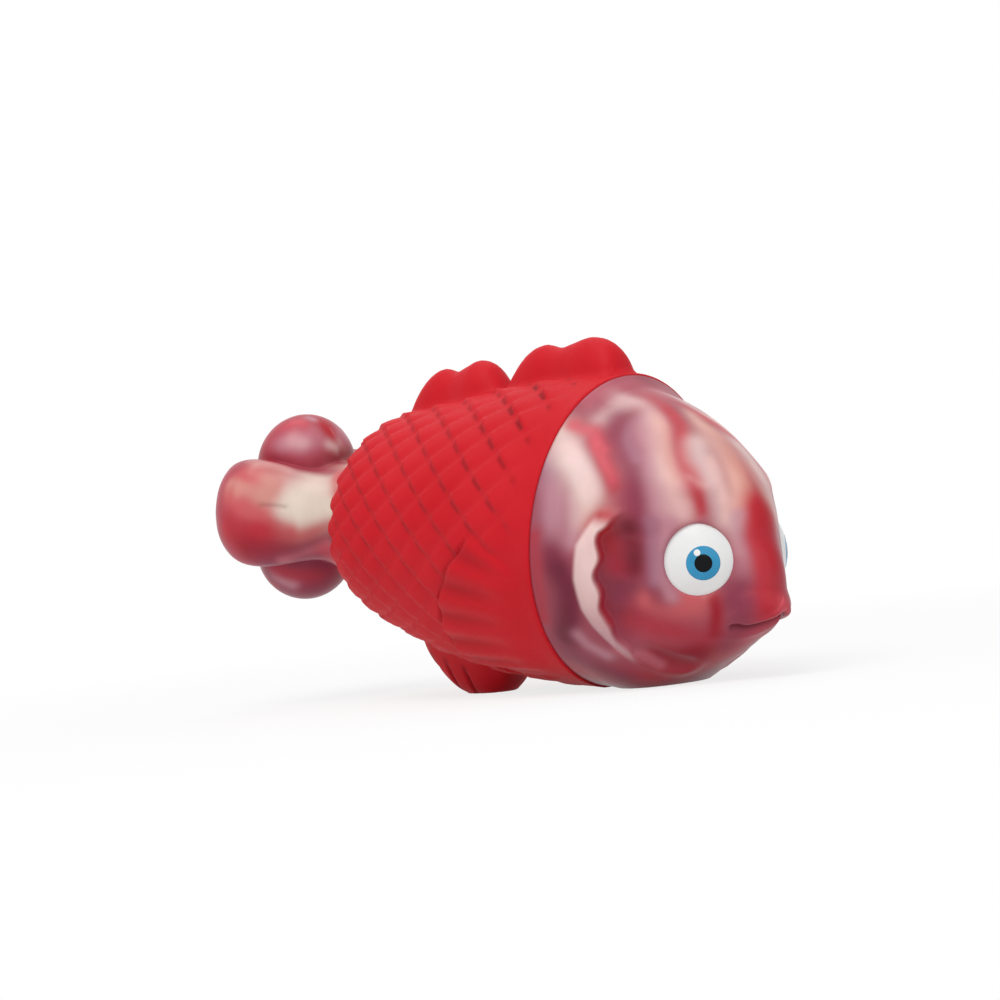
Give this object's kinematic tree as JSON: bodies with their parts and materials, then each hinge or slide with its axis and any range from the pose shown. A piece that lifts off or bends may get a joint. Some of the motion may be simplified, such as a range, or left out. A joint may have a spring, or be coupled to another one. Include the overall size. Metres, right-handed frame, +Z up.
{
  "type": "squeaky bath toy",
  "caption": "Soft fish-shaped bath toy with a marbled head and tail, a scaled red body with fins, and a reed squeaker in its belly.",
  "frame": {"origin": "centre of the small flat under the throat, on the floor that the toy stands on", "axes": "+X towards the lips, +Y towards the fish's left side, +Z up"},
  "size_m": [0.1538, 0.0608, 0.0751],
  "materials": {
    "red_vinyl": "matte soft vinyl",
    "marbled_vinyl": "semi-gloss marbled soft vinyl",
    "eye_white": "gloss",
    "iris_blue": "gloss",
    "pupil_black": "gloss",
    "glint_white": "gloss",
    "squeaker_plastic": "moulded plastic",
    "reed_film": "thin plastic film"
  },
  "bodies": {
    "fish": {"head_shell": "marbled_vinyl", "body_shell": "red_vinyl", "tail_shell": "marbled_vinyl", "right_eye_white": "eye_white", "right_iris": "iris_blue", "right_pupil": "pupil_black", "right_glint": "glint_white", "left_eye_white": "eye_white", "left_iris": "iris_blue", "left_pupil": "pupil_black", "left_glint": "glint_white", "squeaker_cup": "squeaker_plastic", "reed_plate": "squeaker_plastic", "reed_clamp": "squeaker_plastic", "squeaker_cap": "squeaker_plastic"},
    "reed": {"reed": "reed_film"}
  },
  "joints": [
    {"name": "reed_flex", "type": "hinge", "parent": "fish", "child": "reed", "pos_m": [-0.03384, 0, 0.01136], "axis": [0, 1, 0], "range_deg": [-4, 3], "stiffness_Nm_per_rad": 0.0002}
  ]
}
